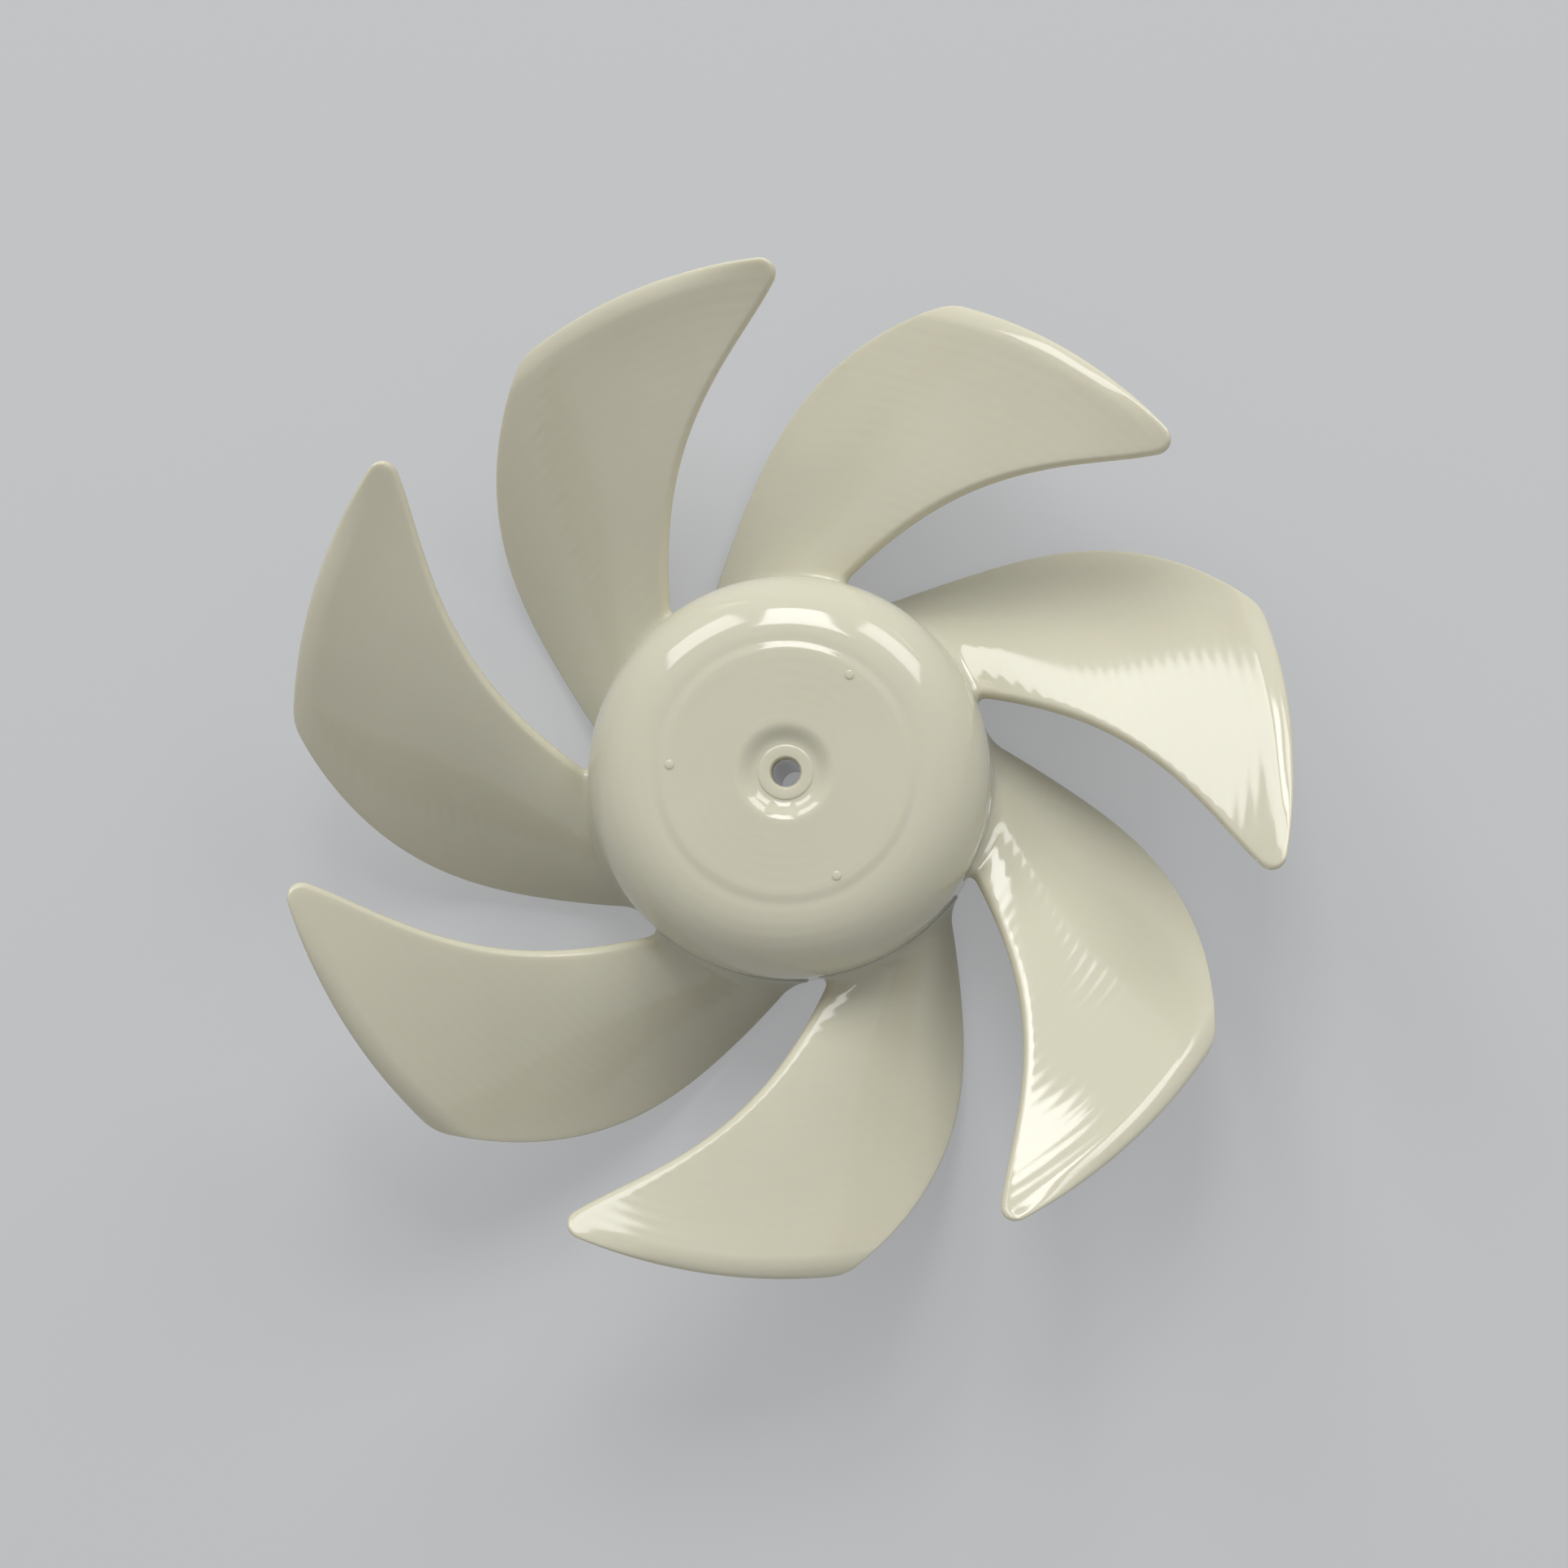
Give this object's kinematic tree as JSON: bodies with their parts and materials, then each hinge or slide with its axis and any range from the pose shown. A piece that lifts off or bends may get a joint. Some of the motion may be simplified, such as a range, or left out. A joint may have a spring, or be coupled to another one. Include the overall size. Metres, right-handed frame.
{
  "type": "refrigerator fan blade",
  "caption": "Axial fan wheel with forward-swept sickle blades on a domed hub cup, pressed on a motor shaft to blow cold air.",
  "frame": {"origin": "on the axis of rotation, in the plane of the hub's rear rim, where the shaft bore begins", "axes": "+Z along the axis of rotation towards the domed front; +Y is up in the picture; seen from the front the wheel turns clockwise"},
  "size_m": [0.1095, 0.11, 0.0313],
  "materials": {
    "ivory_plastic": "glossy"
  },
  "bodies": {
    "root": {"fan_wheel": "ivory_plastic"}
  },
  "joints": []
}
